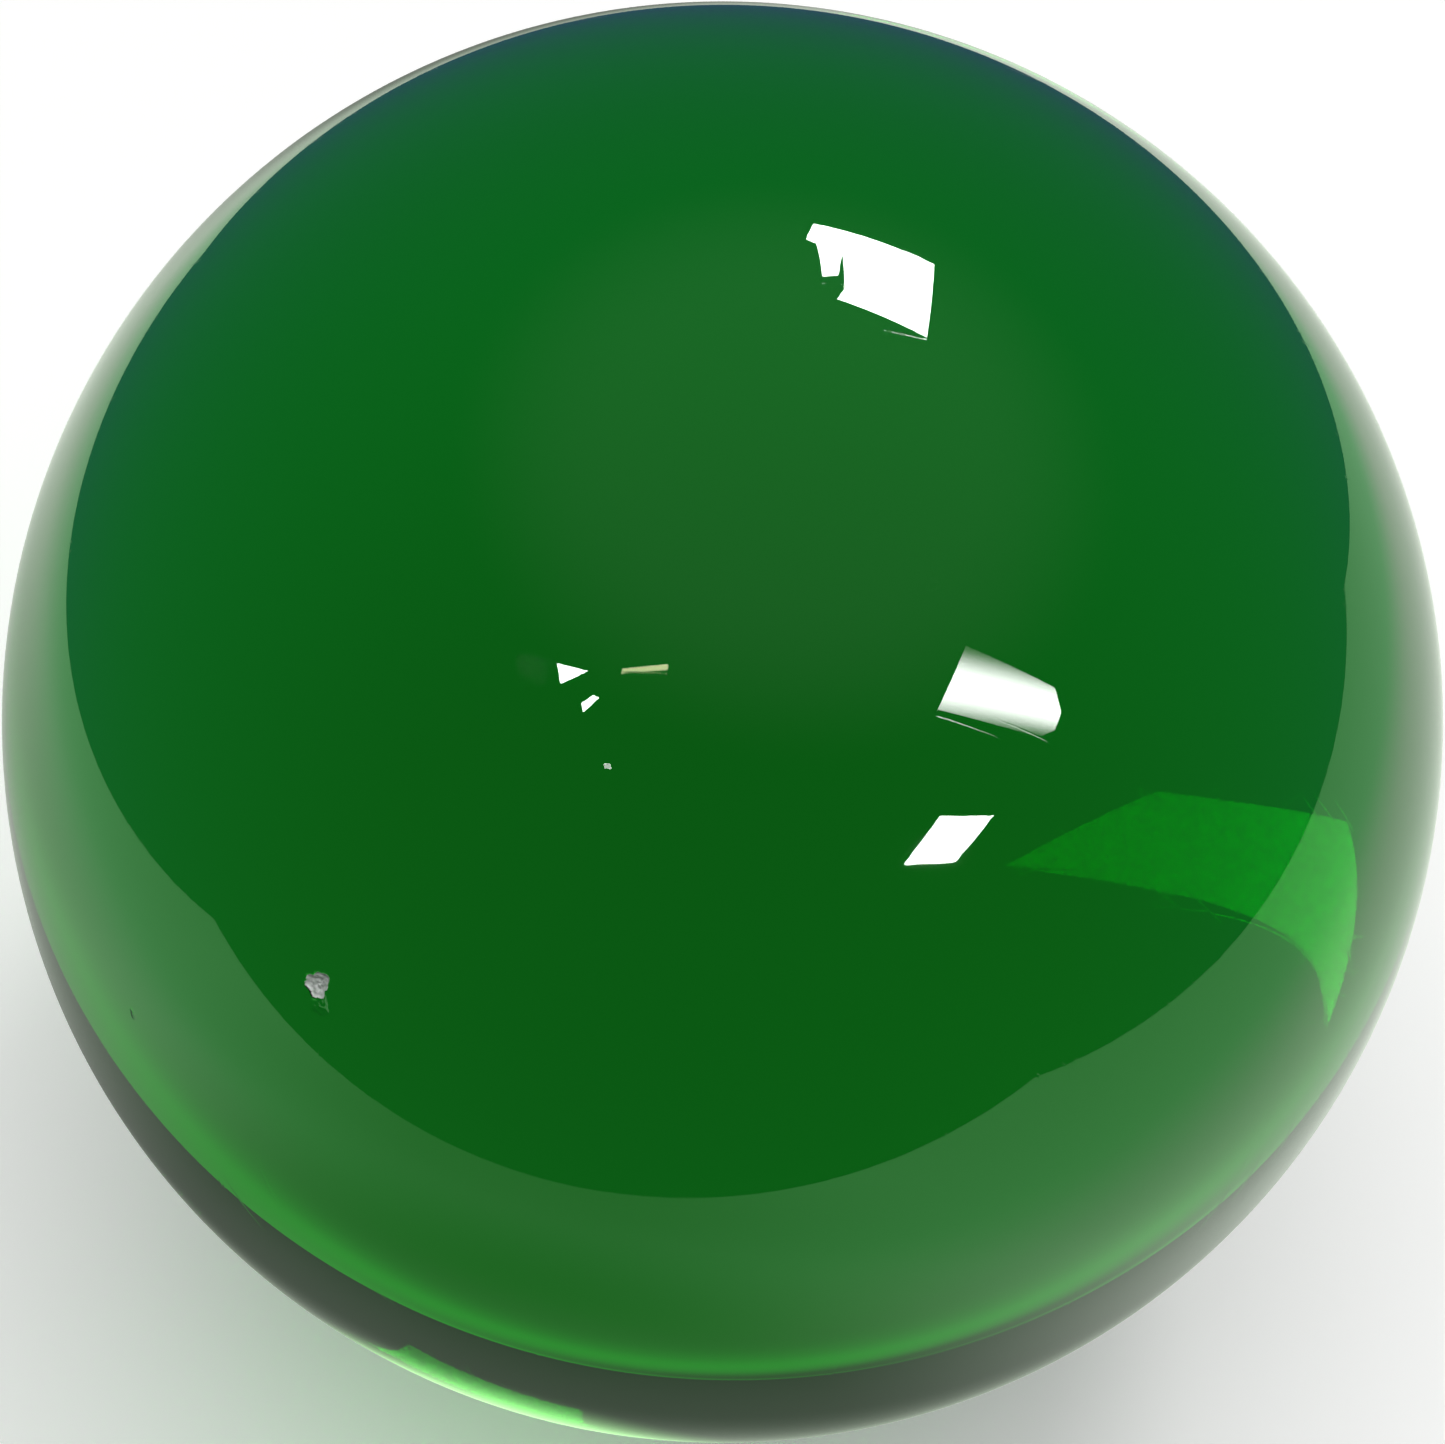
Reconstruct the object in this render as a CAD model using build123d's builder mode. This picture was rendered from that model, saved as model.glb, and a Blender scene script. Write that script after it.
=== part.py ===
from build123d import *

import os

# A pool cue ball: one solid sphere of cast, transparent green resin, ground round and
# polished. It has no shell, core, insert, seam or flat, so it is a single piece with a
# single spherical face. The origin is the centre of the ball and +Z is up, so the ball
# touches the cloth one radius below the origin.

BALL_DIAMETER = 57.15  # 2 1/4 in, the regulation size of a pool ball

BALL_RADIUS = BALL_DIAMETER / 2

os.makedirs("parts", exist_ok=True)

# The half disc on one side of the polar axis, turned once round that axis.
with BuildPart() as ball:
    with BuildSketch(Plane.XZ) as half_disc:
        with BuildLine():
            polar_axis = Line((0, BALL_RADIUS), (0, -BALL_RADIUS))
            ThreePointArc(polar_axis @ 1, (BALL_RADIUS, 0), polar_axis @ 0)
        make_face()
    revolve(axis=Axis.Z)

ball.part.label = "ball"
export_step(ball.part, "parts/ball.step")
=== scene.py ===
import math
import random
from collections import namedtuple

import bmesh
import bpy
from mathutils import Matrix, Vector, noise


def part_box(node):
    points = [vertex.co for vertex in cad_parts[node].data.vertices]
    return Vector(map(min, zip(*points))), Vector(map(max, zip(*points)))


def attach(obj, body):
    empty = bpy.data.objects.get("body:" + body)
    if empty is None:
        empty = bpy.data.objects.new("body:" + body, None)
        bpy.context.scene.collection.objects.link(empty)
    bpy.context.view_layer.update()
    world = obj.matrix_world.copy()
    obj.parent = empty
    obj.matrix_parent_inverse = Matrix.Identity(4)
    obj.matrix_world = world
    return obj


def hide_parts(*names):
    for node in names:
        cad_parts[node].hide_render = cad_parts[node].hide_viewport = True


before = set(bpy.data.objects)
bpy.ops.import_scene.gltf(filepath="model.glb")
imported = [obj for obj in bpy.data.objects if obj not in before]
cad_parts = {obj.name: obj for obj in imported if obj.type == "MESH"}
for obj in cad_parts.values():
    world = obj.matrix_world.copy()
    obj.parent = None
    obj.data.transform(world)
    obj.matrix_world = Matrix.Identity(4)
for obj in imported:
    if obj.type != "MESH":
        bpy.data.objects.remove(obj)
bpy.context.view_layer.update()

# ---------------------------------------------------------------- sizes, in metres and degrees

LOW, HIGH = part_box("ball")
CENTRE = (LOW + HIGH) / 2
RADIUS = min(HIGH - LOW) / 2  # the faceted CAD ball is a hair narrower across than it is tall
FLOOR_Z = LOW.z

FACE_CUTS = 105  # cuts along each edge of the cube that the ball's mesh is blown up from
CHIP_CUTS = 11  # further cuts across each face at a chip or nick

# The surface marks. Azimuth runs from the side that faces the camera, positive to the right.
# The broken face is either frosted or still polished.
Chip = namedtuple("Chip", "azimuth elevation width depth frosted")
CHIPS = (
    Chip(-29.7, 24.8, 1.00e-3, 0.20e-3, frosted=True),
    Chip(-29.0, 23.5, 0.80e-3, 0.05e-3, frosted=False),
    Chip(-45.4, 9.2, 0.40e-3, 0.03e-3, frosted=False),
)
FIRST_CHIP_SEED = 4  # picks the shapes of the ragged rims
RIM_WAVES = ((2, 1, 0.12), (3, 2, 0.13), (7, 3, 0.07))  # number round a rim, turn per seed, height
CHIP_REACH = 0.75  # of a mark's width: the faces this near its middle are cut finer
FROST_SHARE = 0.05  # of a chip's depth: its face is frosted wherever it cuts deeper
RIPPLES = 11  # how fast the ripples of a broken face follow each other, in radians per radius
RIPPLE_DEPTH = 0.14
GRAIN_SCALE = 9000  # of the roughness on top of them, per metre
GRAIN_DEPTH = 0.22
NICK_COUNT = 5  # tiny marks of play, on the sides away from the camera
NICK_SEED = 7
NICK_AZIMUTH = (100, 260)
NICK_ELEVATION = (-30, 35)
NICK_WIDTH = (0.25e-3, 0.50e-3)
NICK_DEPTH = 0.25  # of a nick's width

# The resin. What it takes off light is (1 - colour) * density per metre.
RESIN_IOR = 1.56
RESIN_COLOUR = (0.0, 0.79, 0.18)
RESIN_DENSITY = 3.6 / RADIUS
SMUDGE_ROUGHNESS = 0.04  # where they are dullest
HAIRLINE_SCALE = (60, 6000, 60)
HAIRLINES = (((0.4, 0.2, 0.9), 0.70), ((-0.7, 0.5, -0.4), 0.71))  # turn, in radians, and threshold
CHIP_COLOURS = ((0.68, 0.78, 0.68), (0.94, 0.98, 0.94))
CHIP_ROUGHNESS = (0.30, 0.70)

# The camera, and the pale table top that the ball mirrors. Places on the table are in ball radii.
CAMERA_DISTANCE = 5.45 * RADIUS
CAMERA_ELEVATION = 52.26
CAMERA_ROLL = 6.27
FRAME_MARGIN = 1.0025  # half the picture's width over the ball's radius in it
SENSOR_WIDTH = 36.0  # mm

TABLE_CORNERS = ((-4.75, -2.35), (5.25, -5.30), (9.2, 4.7), (-2.75, 3.30))
# Added to the resin's very pure green, plain white light looks too grey in sRGB, so the light
# painted on the table turns from nearly white round a place behind the ball to pale green further
# out. Each pair is a distance from that place and the colour there.
TINT_CENTRE = (0.3, 1.4)
TABLE_NEAR = (2.4, (0.90, 1.00, 0.87))
TABLE_FAR = (4.0, (0.52, 1.00, 0.60))
# Each painted soft shadow on the table: its centre, inner and outer radius, and the share of light left.
TABLE_SHADES = (
    ((0.0, 0.0), 0.75, 1.35, 0.48),
    ((-0.35, -1.05), 0.7, 1.8, 0.32),
    ((-1.0, -3.2), 0.5, 3.0, 0.60),
    ((-1.4, 0.2), 0.3, 1.6, 0.60),
    ((-0.6, 2.6), 0.3, 1.5, 0.25),
)

# Light that the ball lets through gathers in pools on the table close beneath it. For each pool:
# its middle, inner and outer radius, light and colour.
POOL_OUTLINE = ((-1.1, -1.1), (1.1, -1.1), (1.1, 1.1), (-1.1, 1.1))
POOL_STEP = 0.001 * RADIUS  # from the table up to the first pool, and on to the next
POOLS = (
    ((0.0, 0.0), 0.60, 1.05, 0.40, (0.80, 1.00, 0.75)),
    ((-0.20, -0.61), 0.08, 0.38, 1.25, (0.40, 1.00, 0.30)),
)

FLOOR_FLAT = 60 * RADIUS
FLOOR_SWEEP = 40 * RADIUS  # the radius of the curve by which the floor rises into a backdrop
FLOOR_SIDES = 96
SWEEP_STEPS = 12
FLOOR_COLOUR = (0.86, 0.86, 0.85)
FLOOR_LIFT = 0.28  # the floor's own faint glow, which keeps the ball's shadow on it pale

# The lamp panels hang level. Each outline is in heights of the panels above the ball's centre.
CEILING = 70 * RADIUS
PANEL_LIGHT = 40.0
SIDE_PANEL_LIGHT = 26.0
LEFT_DOT_LIGHT = 9.0
LEFT_STRIP_LIGHT = 11.0
INNER_PANEL_LIGHT = 26.0
BACK_PANEL = (
    (0.08, 0.88), (0.11, 0.86), (0.13, 0.69), (0.17, 0.71), (0.18, 0.84), (0.19, 0.66),
    (0.17, 0.60), (0.42, 0.56), (0.46, 0.96), (0.10, 0.99),
)
FRONT_PANEL = ((1.02, -1.17), (1.02, -1.58), (1.38, -1.58), (1.38, -1.17))
SIDE_PANEL = (
    (0.73, -0.37), (0.72, -0.62), (1.33, -0.67), (1.42, -0.62), (1.40, -0.53), (1.27, -0.43),
)
SIDE_PANEL_BRIGHT = (0.45, 0.58)  # where it is brightest, as shares of its depth
SIDE_PANEL_EDGE = (0.04, 0.06, 0.04)
LEFT_GLINTS = (
    ((-0.55, -0.69), (-0.44, -0.63), (-0.55, -0.61)),
    ((-0.48, -0.80), (-0.41, -0.73), (-0.43, -0.72), (-0.48, -0.76)),
)
LEFT_DOT = ((-0.43, -1.06), (-0.40, -1.06), (-0.40, -1.03), (-0.43, -1.03))
LEFT_STRIP = ((-0.33, -0.63), (-0.18, -0.60), (-0.18, -0.58), (-0.32, -0.61))
LEFT_STRIP_COLOUR = (0.95, 0.95, 0.55)
# A long lamp to the left of the camera, which only shows by one reflection inside the ball.
INNER_PANEL = ((-0.70, -0.60), (-0.70, -0.74), (-0.55, -0.74), (-0.36, -0.60))
RIM_PANEL = ((0.09, -0.47), (0.02, -0.50), (0.00, -0.76), (0.01, -0.76))
# At its far end, which shows at the ball's very edge, and at its near end.
RIM_PANEL_LIGHT = (36.0, 8.0)
# A flag between the camera and the ball: distance, then centre and size across the camera's view.
FLAG = (3.5 * RADIUS, (0.17 * RADIUS, 0.46 * RADIUS), (1.10 * RADIUS, 1.12 * RADIUS))

# The two lights that light the floor and the chips: name, direction, size and radiance.
LIGHTS = (
    ("fill", (0, 0, 1), 100 * RADIUS, 2.1),
    ("key", (0.35, 0.55, 1.0), 20 * RADIUS, 8.0),
)
ROOM_FRONT = (0.06, 0.05, 0.11)  # the dim room on the camera's side of the ball
ROOM_BEHIND = (0.045, 0.085, 0.18)
# A pale patch overhead: direction, cosines of the angles to its edge and core, and added light.
ROOM_PATCH = ((0.1, 0.1, 1.0), 0.65, 0.92, (0.15, 0.17, 0.17))


# ---------------------------------------------------------------- small helpers

def new_object(name, mesh):
    piece = bpy.data.objects.new(name, mesh)
    bpy.context.scene.collection.objects.link(piece)
    return piece


def mesh_from(name, bm, smooth=False):
    mesh = bpy.data.meshes.new(name)
    bm.to_mesh(mesh)
    bm.free()
    if smooth:
        mesh.shade_smooth()
    return mesh


def new_material(name):
    material = bpy.data.materials.new(name)
    material.use_nodes = True
    return material, material.node_tree.nodes, material.node_tree.links


def add_node(nodes, kind, **settings):
    """A node of a kind, with settings for its properties and, by socket name, its inputs."""
    node = nodes.new(kind)
    for name, value in settings.items():
        if hasattr(node, name):
            setattr(node, name, value)
        else:
            node.inputs[name.replace("_", " ")].default_value = value
    return node


def only_seen_by(piece, *rays):
    for ray in ("camera", "diffuse", "glossy", "transmission", "volume_scatter", "shadow"):
        setattr(piece, "visible_" + ray, ray in rays)


# ---------------------------------------------------------------- the ball

def outward(azimuth, elevation):
    a, e = math.radians(azimuth), math.radians(elevation)
    return Vector((math.sin(a) * math.cos(e), -math.cos(a) * math.cos(e), math.sin(e)))


def all_chips():
    """The marks in CHIPS, and then the small nicks, at seeded places on the ball's far side."""
    chips = list(CHIPS)
    dice = random.Random(NICK_SEED)
    for _ in range(NICK_COUNT):
        width = dice.uniform(*NICK_WIDTH)
        azimuth = dice.uniform(*NICK_AZIMUTH)
        elevation = dice.uniform(*NICK_ELEVATION)
        chips.append(Chip(azimuth, elevation, width, NICK_DEPTH * width, frosted=False))
    return chips


def chip_depth(point, chip, seed):
    """How deep the chip cuts at a point of the surface, as a share, or 0 outside its ragged rim."""
    normal = outward(chip.azimuth, chip.elevation)
    across = normal.cross((0, 0, 1)).normalized()
    up = across.cross(normal)
    x, y = point.dot(across), point.dot(up)
    turn = math.atan2(y, x)
    rim = 1 + sum(height * math.sin(waves * turn + weight * seed) for waves, weight, height in RIM_WAVES)
    out = math.hypot(x, y) / (rim * chip.width / 2)
    if out >= 1 or point.dot(normal) < 0:
        return 0.0
    ripples = RIPPLE_DEPTH * math.cos(RIPPLES * out + 2 * turn)
    steps = ripples + GRAIN_DEPTH * noise.noise(point * GRAIN_SCALE)
    return (1 - out ** 2) ** 0.6 * (0.8 + steps)


def ball_mesh():
    """A cube blown up to a sphere, which spaces the vertices evenly, with the chips cut in."""
    bm = bmesh.new()
    bmesh.ops.create_cube(bm, size=2)
    bmesh.ops.subdivide_edges(bm, edges=bm.edges[:], cuts=FACE_CUTS, use_grid_fill=True)
    for vertex in bm.verts:
        even = Vector(math.tan(c * math.pi / 4) for c in vertex.co)
        vertex.co = even.normalized() * RADIUS
    chips = all_chips()
    face_size = RADIUS * math.pi / 2 / (FACE_CUTS + 1)
    edges = set()
    for face in bm.faces:
        middle = face.calc_center_median()
        for chip in chips:
            away = middle - outward(chip.azimuth, chip.elevation) * RADIUS
            if away.length < CHIP_REACH * chip.width + face_size:
                edges.update(face.edges)
    bmesh.ops.subdivide_edges(bm, edges=list(edges), cuts=CHIP_CUTS, use_grid_fill=True)
    frosted_verts = set()
    for vertex in bm.verts:
        surface = vertex.co.normalized() * RADIUS
        cut = 0.0
        for seed, chip in enumerate(chips, start=FIRST_CHIP_SEED):
            share = chip_depth(surface, chip, seed)
            cut = max(cut, share * chip.depth)
            if share > FROST_SHARE and chip.frosted:
                frosted_verts.add(vertex)
        vertex.co = CENTRE + surface.normalized() * (RADIUS - cut)
    for face in bm.faces:
        if all(vertex in frosted_verts for vertex in face.verts):
            face.material_index = 1
    return mesh_from("cue_ball", bm, smooth=True)


def hairlines(nodes, links, where, turn, threshold):
    """Sparse, very fine lines: streaky noise stretched a hundredfold, with only its peaks kept."""
    lie = add_node(nodes, "ShaderNodeMapping", Rotation=turn, Scale=HAIRLINE_SCALE)
    streaks = add_node(nodes, "ShaderNodeTexNoise", Scale=1.0, Detail=1.0)
    keep = add_node(nodes, "ShaderNodeMapRange", From_Min=threshold, From_Max=threshold + 0.06)
    links.new(where.outputs["Object"], lie.inputs["Vector"])
    links.new(lie.outputs["Vector"], streaks.inputs["Vector"])
    links.new(streaks.outputs["Fac"], keep.inputs["Value"])
    return keep.outputs["Result"]


def resin_material():
    """Clear green casting resin: a polished surface over a body that soaks up red and blue."""
    material, nodes, links = new_material("clear_green_resin")
    surface = nodes["Principled BSDF"]
    surface.inputs["Base Color"].default_value = (1, 1, 1, 1)
    surface.inputs["Transmission Weight"].default_value = 1
    surface.inputs["IOR"].default_value = RESIN_IOR
    body = nodes.new("ShaderNodeVolumeAbsorption")
    body.inputs["Color"].default_value = (*RESIN_COLOUR, 1)
    body.inputs["Density"].default_value = RESIN_DENSITY
    links.new(body.outputs["Volume"], nodes["Material Output"].inputs["Volume"])

    # Handling leaves faint smudges, a touch less glossy than the polish between them.
    where = nodes.new("ShaderNodeTexCoord")
    smudges = add_node(nodes, "ShaderNodeTexNoise", Scale=110.0, Detail=4.0, Roughness=0.6)
    smudges.inputs["Distortion"].default_value = 0.8
    dulled = add_node(nodes, "ShaderNodeMapRange", From_Min=0.45, From_Max=0.75, To_Max=SMUDGE_ROUGHNESS)
    links.new(where.outputs["Object"], smudges.inputs["Vector"])
    links.new(smudges.outputs["Fac"], dulled.inputs["Value"])
    links.new(dulled.outputs["Result"], surface.inputs["Roughness"])

    # Hairline scratches from play run in two directions.
    both = add_node(nodes, "ShaderNodeMath", operation="MAXIMUM")
    for number, (turn, threshold) in enumerate(HAIRLINES):
        links.new(hairlines(nodes, links, where, turn, threshold), both.inputs[number])
    relief = add_node(nodes, "ShaderNodeBump", Strength=0.03, Distance=2e-5, invert=True)
    links.new(both.outputs["Value"], relief.inputs["Height"])
    links.new(relief.outputs["Normal"], surface.inputs["Normal"])
    return material


def chipped_material():
    """The crushed face of a chip, whitish with fine cracks, a little green showing through."""
    material, nodes, links = new_material("chipped_resin")
    surface = nodes["Principled BSDF"]
    where = nodes.new("ShaderNodeTexCoord")
    grain = add_node(nodes, "ShaderNodeTexNoise", Scale=6000.0, Detail=4.0, Roughness=0.7)
    tone = nodes.new("ShaderNodeValToRGB")
    tone.color_ramp.elements[0].position = 0.35
    tone.color_ramp.elements[0].color = (*CHIP_COLOURS[0], 1)
    tone.color_ramp.elements[1].position = 0.60
    tone.color_ramp.elements[1].color = (*CHIP_COLOURS[1], 1)
    rough = add_node(nodes, "ShaderNodeMapRange", To_Min=CHIP_ROUGHNESS[0], To_Max=CHIP_ROUGHNESS[1])
    relief = add_node(nodes, "ShaderNodeBump", Strength=0.6, Distance=3e-5)
    links.new(where.outputs["Object"], grain.inputs["Vector"])
    links.new(grain.outputs["Fac"], tone.inputs["Fac"])
    links.new(tone.outputs["Color"], surface.inputs["Base Color"])
    links.new(grain.outputs["Fac"], rough.inputs["Value"])
    links.new(rough.outputs["Result"], surface.inputs["Roughness"])
    links.new(grain.outputs["Fac"], relief.inputs["Height"])
    links.new(relief.outputs["Normal"], surface.inputs["Normal"])
    return material


def make_ball():
    piece = new_object("cue_ball", ball_mesh())
    piece.data.materials.append(resin_material())
    piece.data.materials.append(chipped_material())
    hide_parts("ball")
    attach(piece, "root")


# ---------------------------------------------------------------- the stage

def flat_outline(name, outline, height, scale):
    """A level face with the given outline, times scale, at a height."""
    bm = bmesh.new()
    bm.faces.new([bm.verts.new((x * scale, y * scale, height)) for x, y in outline])
    return new_object(name, mesh_from(name, bm))


def glow_material(name, colour, strength):
    material, nodes, links = new_material(name)
    nodes.remove(nodes["Principled BSDF"])
    glow = add_node(nodes, "ShaderNodeEmission", Color=(*colour, 1), Strength=strength)
    links.new(glow.outputs["Emission"], nodes["Material Output"].inputs["Surface"])
    return material, nodes, links, glow


def ease_with_distance(nodes, links, where, centre, inner, outer):
    """A fade from 0 to 1 between two distances from a place on the table, in ball radii."""
    away = add_node(nodes, "ShaderNodeVectorMath", operation="DISTANCE")
    away.inputs[1].default_value = (centre[0] * RADIUS, centre[1] * RADIUS, FLOOR_Z)
    fade = add_node(nodes, "ShaderNodeMapRange", interpolation_type="SMOOTHSTEP")
    fade.inputs["From Min"].default_value = inner * RADIUS
    fade.inputs["From Max"].default_value = outer * RADIUS
    links.new(where.outputs["Position"], away.inputs[0])
    links.new(away.outputs["Value"], fade.inputs["Value"])
    return fade


def make_table():
    """The pale table that the ball mirrors and refracts, a glow with painted light and painted soft
    shadows on it. The camera itself sees the floor.
    """
    table = flat_outline("table", TABLE_CORNERS, FLOOR_Z, RADIUS)
    material, nodes, links, glow = glow_material("table_painted_light", TABLE_NEAR[1], 1.0)
    where = nodes.new("ShaderNodeNewGeometry")
    light = None
    # The glow's strength is painted light, made less by each painted soft shadow in turn.
    for centre, inner, outer, left in TABLE_SHADES:
        shade = ease_with_distance(nodes, links, where, centre, inner, outer)
        shade.inputs["To Min"].default_value = left
        if light is None:
            light = shade
            continue
        less = add_node(nodes, "ShaderNodeMath", operation="MULTIPLY")
        links.new(light.outputs[0], less.inputs[0])
        links.new(shade.outputs["Result"], less.inputs[1])
        light = less
    links.new(light.outputs[0], glow.inputs["Strength"])
    tint = nodes.new("ShaderNodeMix")
    tint.data_type = "RGBA"
    tint.inputs["A"].default_value = (*TABLE_NEAR[1], 1)
    tint.inputs["B"].default_value = (*TABLE_FAR[1], 1)
    outward_fade = ease_with_distance(nodes, links, where, TINT_CENTRE, TABLE_NEAR[0], TABLE_FAR[0])
    links.new(outward_fade.outputs["Result"], tint.inputs["Factor"])
    links.new(tint.outputs["Result"], glow.inputs["Color"])
    table.data.materials.append(material)
    only_seen_by(table, "glossy", "transmission")


def make_pools():
    """Light on the table close to the ball, added to the table's own, which the polish mirrors."""
    for number, (centre, inner, outer, light, colour) in enumerate(POOLS, start=1):
        pool = flat_outline("pool_%d" % number, POOL_OUTLINE, FLOOR_Z + POOL_STEP * number, RADIUS)
        material, nodes, links, glow = glow_material("pool_%d_glow" % number, colour, light)
        where = nodes.new("ShaderNodeNewGeometry")
        fade = ease_with_distance(nodes, links, where, centre, inner, outer)
        fade.inputs["To Min"].default_value = light
        fade.inputs["To Max"].default_value = 0.0
        clear = nodes.new("ShaderNodeBsdfTransparent")
        both = nodes.new("ShaderNodeAddShader")
        links.new(fade.outputs["Result"], glow.inputs["Strength"])
        links.new(glow.outputs["Emission"], both.inputs[0])
        links.new(clear.outputs["BSDF"], both.inputs[1])
        links.new(both.outputs["Shader"], nodes["Material Output"].inputs["Surface"])
        pool.data.materials.append(material)
        only_seen_by(pool, "glossy")


def make_floor():
    """A pale floor that rises all round into a backdrop. Only the camera sees it."""
    profile = [(FLOOR_FLAT / 8, 0.0)]
    for step in range(SWEEP_STEPS + 1):
        angle = math.radians(90 * step / SWEEP_STEPS)
        out = FLOOR_FLAT + FLOOR_SWEEP * math.sin(angle)
        profile.append((out, FLOOR_SWEEP * (1 - math.cos(angle))))
    bm = bmesh.new()
    loops = []
    for radius, height in profile:
        loop = []
        for k in range(FLOOR_SIDES):
            a = 2 * math.pi * k / FLOOR_SIDES
            loop.append(bm.verts.new((radius * math.cos(a), radius * math.sin(a), FLOOR_Z + height)))
        loops.append(loop)
    bm.faces.new(loops[0])
    for inner, outer in zip(loops, loops[1:]):
        for k in range(FLOOR_SIDES):
            m = (k + 1) % FLOOR_SIDES
            bm.faces.new((inner[k], outer[k], outer[m], inner[m]))
    floor = new_object("floor", mesh_from("floor", bm, smooth=True))
    material, nodes, _ = new_material("floor_pale")
    surface = nodes["Principled BSDF"]
    surface.inputs["Base Color"].default_value = (*FLOOR_COLOUR, 1)
    surface.inputs["Roughness"].default_value = 0.8
    surface.inputs["Specular IOR Level"].default_value = 0.2
    surface.inputs["Emission Color"].default_value = (1, 1, 1, 1)
    surface.inputs["Emission Strength"].default_value = FLOOR_LIFT
    floor.data.materials.append(material)
    only_seen_by(floor, "camera")


def make_panel(name, outline, *rays, light=PANEL_LIGHT, colour=(1, 1, 1)):
    panel = flat_outline(name, outline, CENTRE.z + CEILING, CEILING)
    material, nodes, links, glow = glow_material(name + "_glow", colour, light)
    panel.data.materials.append(material)
    only_seen_by(panel, *rays)
    return nodes, links, glow


def make_soft_panel():
    """The panel on the right is brightest along its middle and fades to its two long edges."""
    nodes, links, glow = make_panel("side_panel", SIDE_PANEL, "glossy", light=SIDE_PANEL_LIGHT)
    where = nodes.new("ShaderNodeTexCoord")
    split = nodes.new("ShaderNodeSeparateXYZ")
    fade = nodes.new("ShaderNodeValToRGB")
    stops = fade.color_ramp.elements
    stops[0].color = stops[1].color = (*SIDE_PANEL_EDGE, 1)
    for position in SIDE_PANEL_BRIGHT:
        stops.new(position).color = (1, 1, 1, 1)
    fade.color_ramp.interpolation = "EASE"
    links.new(where.outputs["Generated"], split.inputs[0])
    links.new(split.outputs["Y"], fade.inputs["Fac"])
    links.new(fade.outputs["Color"], glow.inputs["Color"])


def make_rim_panel():
    """A lamp that shows by one reflection inside the ball, brightest at one end."""
    nodes, links, glow = make_panel("rim_panel", RIM_PANEL, "transmission")
    where = nodes.new("ShaderNodeTexCoord")
    split = nodes.new("ShaderNodeSeparateXYZ")
    fade = add_node(nodes, "ShaderNodeMapRange", To_Min=RIM_PANEL_LIGHT[0], To_Max=RIM_PANEL_LIGHT[1])
    links.new(where.outputs["Generated"], split.inputs[0])
    links.new(split.outputs["Y"], fade.inputs["Value"])
    links.new(fade.outputs["Result"], glow.inputs["Strength"])


def make_panels():
    make_panel("back_panel", BACK_PANEL, "glossy")
    make_panel("front_panel", FRONT_PANEL, "glossy")
    make_soft_panel()
    for number, outline in enumerate(LEFT_GLINTS):
        make_panel("left_glint_%d" % number, outline, "glossy")
    make_panel("left_dot", LEFT_DOT, "glossy", light=LEFT_DOT_LIGHT)
    make_panel("left_strip", LEFT_STRIP, "glossy", light=LEFT_STRIP_LIGHT, colour=LEFT_STRIP_COLOUR)
    make_panel("inner_panel", INNER_PANEL, "transmission", light=INNER_PANEL_LIGHT)
    make_rim_panel()


def make_flag():
    """A black card that keeps the rim panel from showing a second time in the middle of the ball."""
    distance, place, size = FLAG
    bm = bmesh.new()
    bmesh.ops.create_grid(bm, x_segments=1, y_segments=1, size=0.5)
    bm.transform(Matrix.Diagonal((*size, 1, 1)))
    flag = new_object("flag", mesh_from("flag", bm))
    flag.matrix_world = camera_frame(distance) @ Matrix.Translation((*place, 0))
    flag.data.materials.append(glow_material("flag_black", (0, 0, 0), 0)[0])
    only_seen_by(flag, "transmission")


def make_light(name, toward, across, radiance):
    """A round soft light, aimed at the ball, which the ball neither mirrors nor refracts."""
    place = Vector(toward).normalized() * CEILING
    data = bpy.data.lights.new(name, "AREA")
    data.shape = "DISK"
    data.size = across
    data.energy = radiance * math.pi * math.pi * (across / 2) ** 2
    light = bpy.data.objects.new(name, data)
    light.location = CENTRE + place
    light.rotation_euler = place.to_track_quat("Z", "Y").to_euler()
    light.visible_glossy = False
    light.visible_transmission = False
    bpy.context.scene.collection.objects.link(light)


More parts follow.
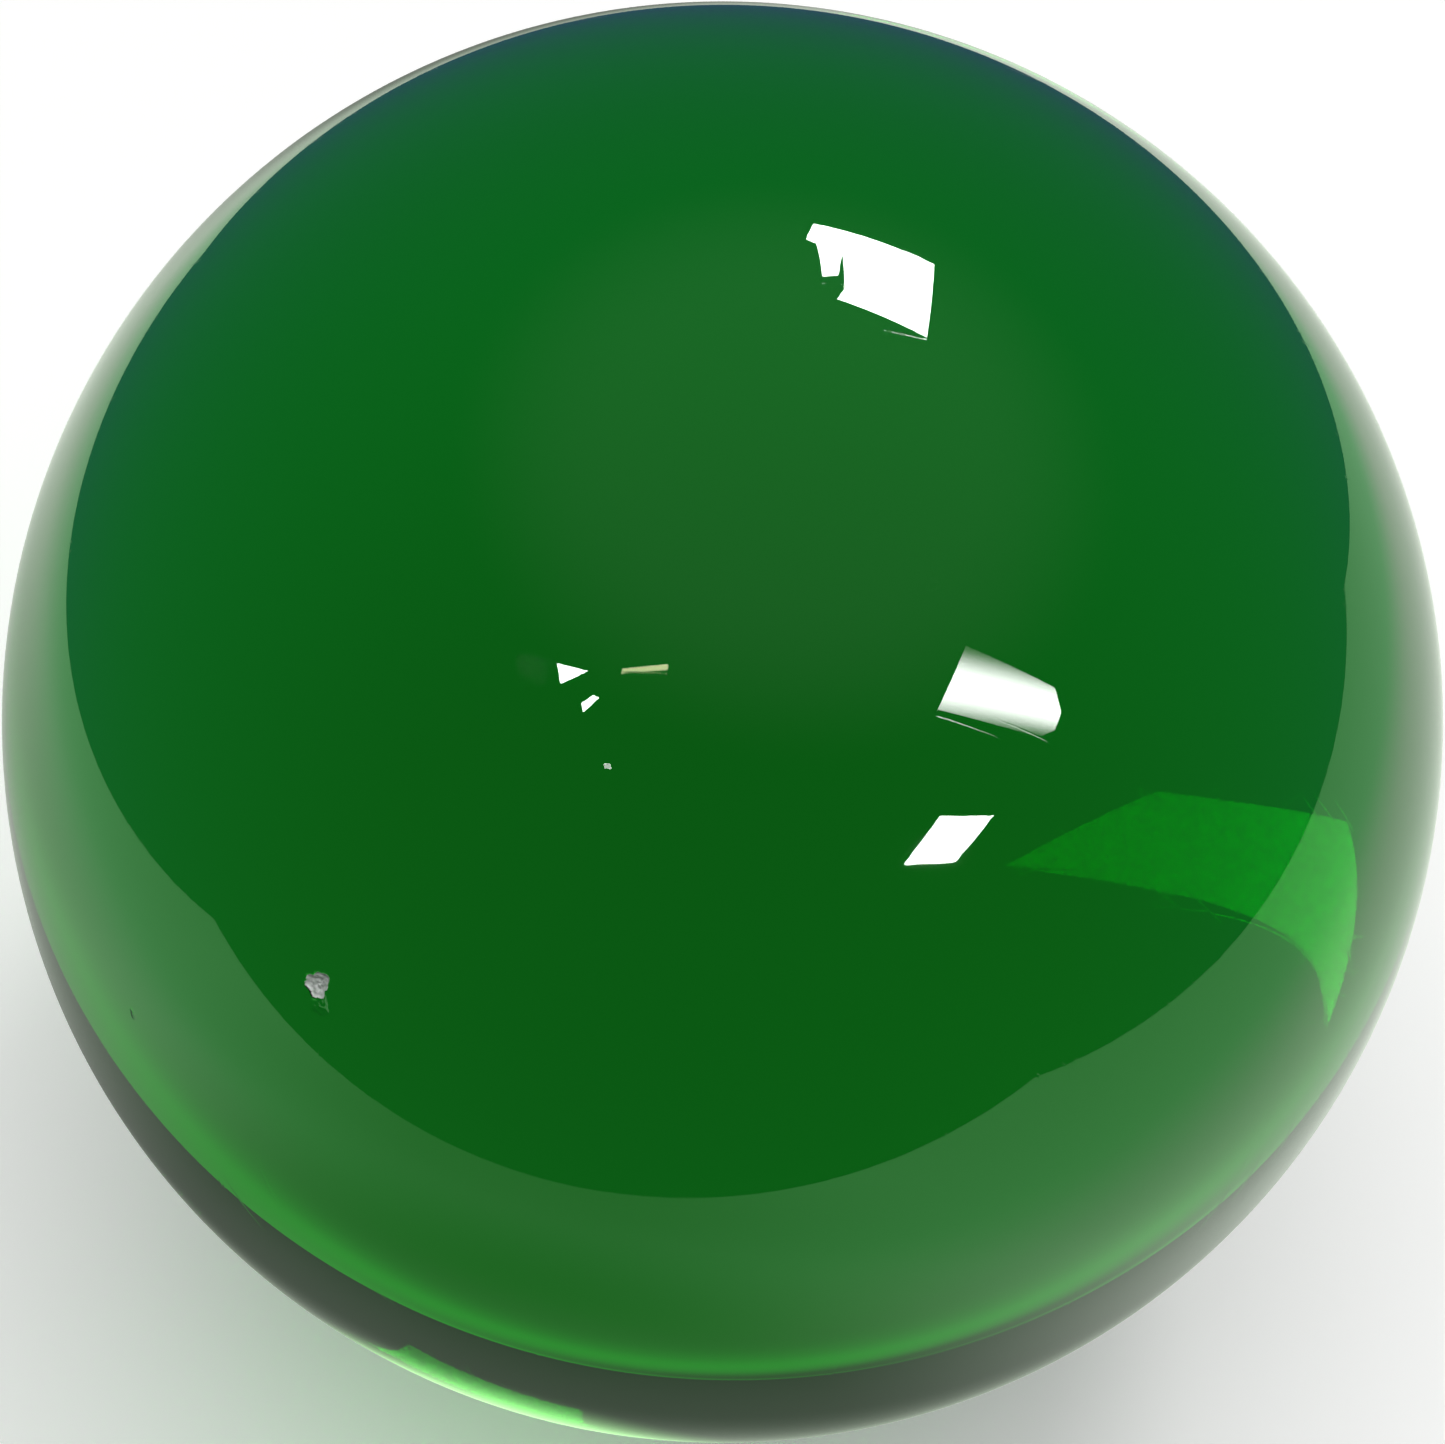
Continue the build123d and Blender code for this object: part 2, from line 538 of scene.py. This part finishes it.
def make_world():
    """A dim room, bluer behind the ball than in front, with a soft pale patch overhead."""
    world = bpy.data.worlds.new("room")
    world.use_nodes = True
    nodes, links = world.node_tree.nodes, world.node_tree.links
    where = nodes.new("ShaderNodeTexCoord")
    split = nodes.new("ShaderNodeSeparateXYZ")
    share = add_node(nodes, "ShaderNodeMapRange", From_Min=-0.6, From_Max=0.6)
    blend = nodes.new("ShaderNodeMix")
    blend.data_type = "RGBA"
    blend.inputs["A"].default_value = (*ROOM_FRONT, 1)
    blend.inputs["B"].default_value = (*ROOM_BEHIND, 1)
    links.new(where.outputs["Generated"], split.inputs[0])
    links.new(split.outputs["Y"], share.inputs["Value"])
    links.new(share.outputs["Result"], blend.inputs["Factor"])

    overhead, edge, core, colour = ROOM_PATCH
    toward = add_node(nodes, "ShaderNodeVectorMath", operation="DOT_PRODUCT")
    toward.inputs[1].default_value = Vector(overhead).normalized()
    patch = add_node(nodes, "ShaderNodeMapRange", interpolation_type="SMOOTHSTEP")
    patch.inputs["From Min"].default_value = edge
    patch.inputs["From Max"].default_value = core
    add = nodes.new("ShaderNodeMix")
    add.data_type = "RGBA"
    add.blend_type = "ADD"
    add.inputs["B"].default_value = (*colour, 1)
    links.new(where.outputs["Generated"], toward.inputs[0])
    links.new(toward.outputs["Value"], patch.inputs["Value"])
    links.new(patch.outputs["Result"], add.inputs["Factor"])
    links.new(blend.outputs["Result"], add.inputs["A"])
    links.new(add.outputs["Result"], nodes["Background"].inputs["Color"])
    bpy.context.scene.world = world
    world.cycles_visibility.diffuse = False


def camera_frame(distance):
    """The place and turn of something that faces the ball from the camera's side."""
    back = outward(0, CAMERA_ELEVATION)
    level = back.to_track_quat("Z", "Y").to_matrix().to_4x4()
    roll = Matrix.Rotation(math.radians(CAMERA_ROLL), 4, "Z")
    return Matrix.Translation(CENTRE + back * distance) @ level @ roll


def make_camera():
    """Looks down at the ball's centre, near enough for the ball to fill the picture."""
    data = bpy.data.cameras.new("camera")
    data.sensor_width = SENSOR_WIDTH
    limb = math.tan(math.asin(RADIUS / CAMERA_DISTANCE))
    data.lens = SENSOR_WIDTH / 2 / (limb * FRAME_MARGIN)
    data.clip_start = 0.1 * RADIUS
    data.clip_end = 400 * RADIUS
    camera = bpy.data.objects.new("camera", data)
    camera.matrix_world = camera_frame(CAMERA_DISTANCE)
    bpy.context.scene.collection.objects.link(camera)
    bpy.context.scene.camera = camera


make_ball()
make_table()
make_pools()
make_floor()
make_panels()
make_flag()
for light in LIGHTS:
    make_light(*light)
make_world()
make_camera()
bpy.context.scene.view_settings.view_transform = "Standard"
